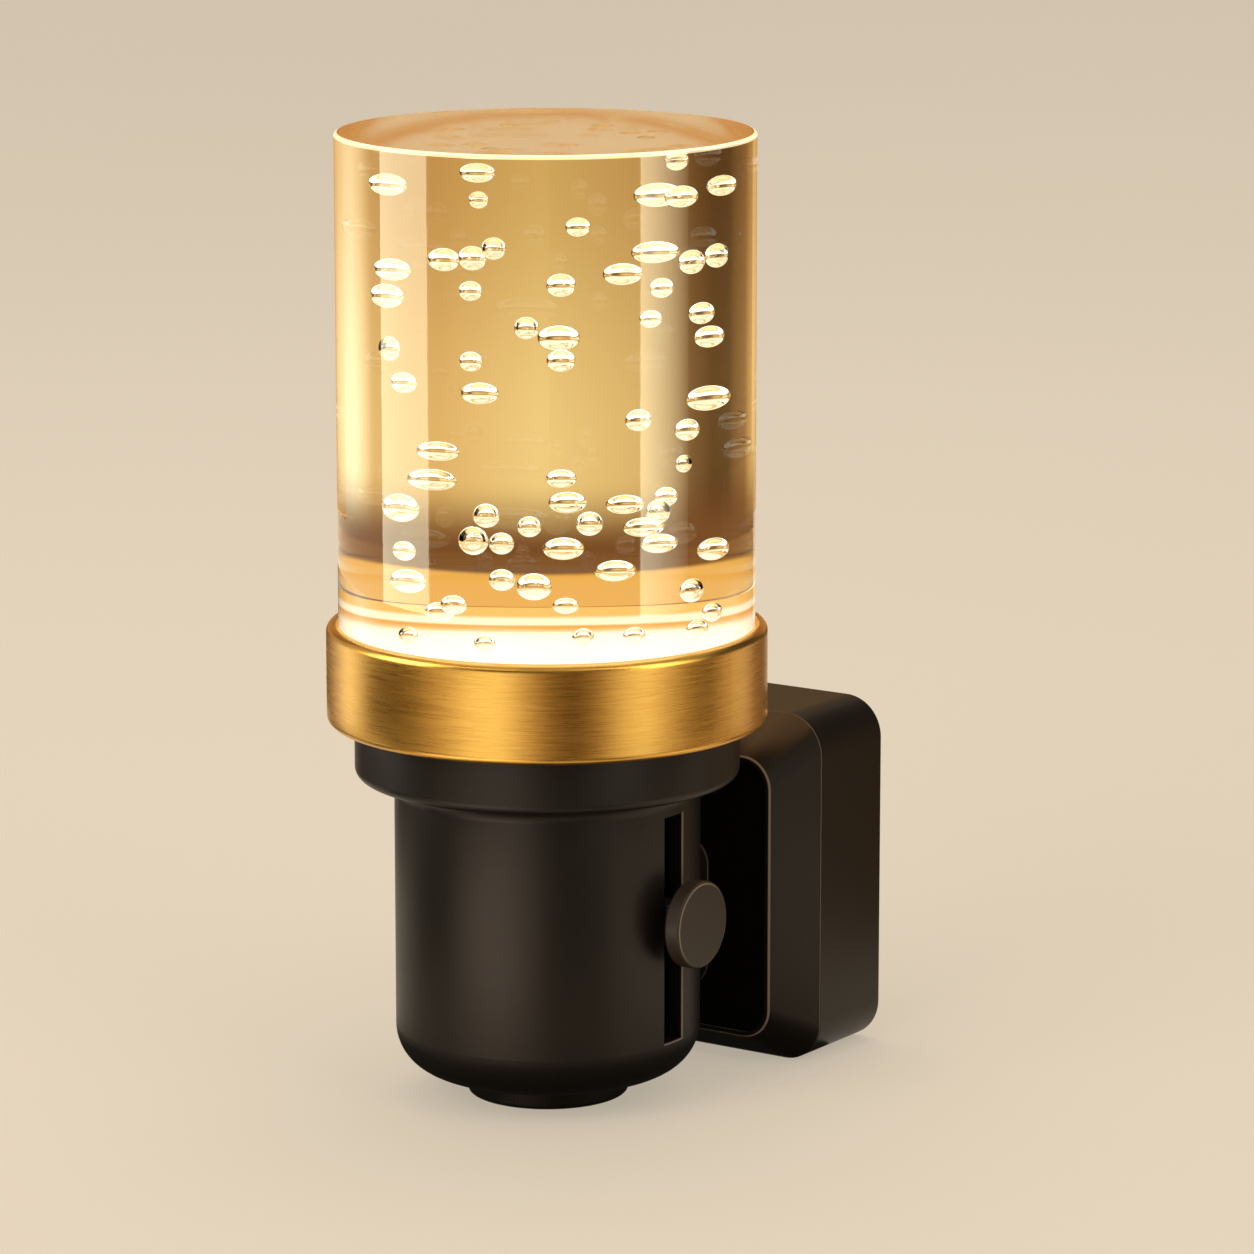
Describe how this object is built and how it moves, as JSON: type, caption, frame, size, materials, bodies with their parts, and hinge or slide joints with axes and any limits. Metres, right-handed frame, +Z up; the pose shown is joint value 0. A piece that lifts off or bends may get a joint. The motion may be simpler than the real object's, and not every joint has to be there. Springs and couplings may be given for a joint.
{
  "type": "plug-in night light",
  "caption": "Plug-in night light: a clear bubble crystal column in a brushed gold ring on a round black body with a slide dimmer, carried by a flat-blade wall plug.",
  "frame": {"origin": "on the plug's back face, which lies on the outlet's plate, midway between the two blades", "axes": "+X to the right as seen from the room, +Y into the wall along the blades, +Z up along the crystal"},
  "size_m": [0.0532, 0.0862, 0.1176],
  "materials": {
    "crystal": "clear and polished, with trapped air bubbles",
    "gold_ring": "brushed round the ring, with a satin gold shine",
    "black_shell": "satin black with a fine moulded texture",
    "dark_panel": "dull black",
    "dark_knob": "satin dark grey",
    "opal": "opal white, lit from below",
    "white_plastic": "white",
    "light_board": "white solder mask",
    "light_chip": "yellow phosphor, lit",
    "solder": "bright solder",
    "aluminium": "plain sheet",
    "steel": "zinc-plated",
    "track": "dull carbon black",
    "circuit_board": "green solder mask",
    "film_box": "yellow-brown resin",
    "can_sleeve": "dark blue sleeve",
    "resistor_coat": "grey-green enamel",
    "black_part": "black",
    "blade": "plain brass",
    "red_lead": "red insulation",
    "black_lead": "black insulation"
  },
  "bodies": {
    "lamp": {"crystal_column": "crystal", "trim_ring": "gold_ring", "diffuser_disc": "opal", "reflector_cup": "white_plastic", "led_board": "light_board", "led_chips": "light_chip", "led_solder": "solder", "heat_spreader": "aluminium", "spreader_screws": "steel", "lamp_body": "black_shell", "bottom_cap": "black_shell", "cap_nut": "steel", "dimmer_frame": "steel", "dimmer_track": "track", "dimmer_board": "circuit_board", "neck_bracket": "black_shell", "front_panel": "dark_panel", "plug_front_case": "black_shell", "plug_rear_case": "black_shell", "driver_board": "circuit_board", "film_capacitor": "film_box", "smoothing_capacitor": "can_sleeve", "fuse_resistor": "resistor_coat", "bridge_rectifier": "black_part", "driver_chip": "black_part", "case_screws": "steel", "neck_screws": "steel", "board_screws": "steel", "live_blade": "blade", "neutral_blade": "blade", "supply_lead_positive": "red_lead", "supply_lead_negative": "black_lead", "led_lead_positive": "red_lead", "led_lead_negative": "black_lead"},
    "dimmer_slider": {"slide_knob": "dark_knob", "slider_lever": "black_part", "slider_carriage": "white_plastic", "wiper_contact": "blade"}
  },
  "joints": [
    {"name": "dimmer_slide", "type": "slide", "parent": "lamp", "child": "dimmer_slider", "axis": [0, 0, 1], "range_m": [-0.012, 0.01]}
  ]
}
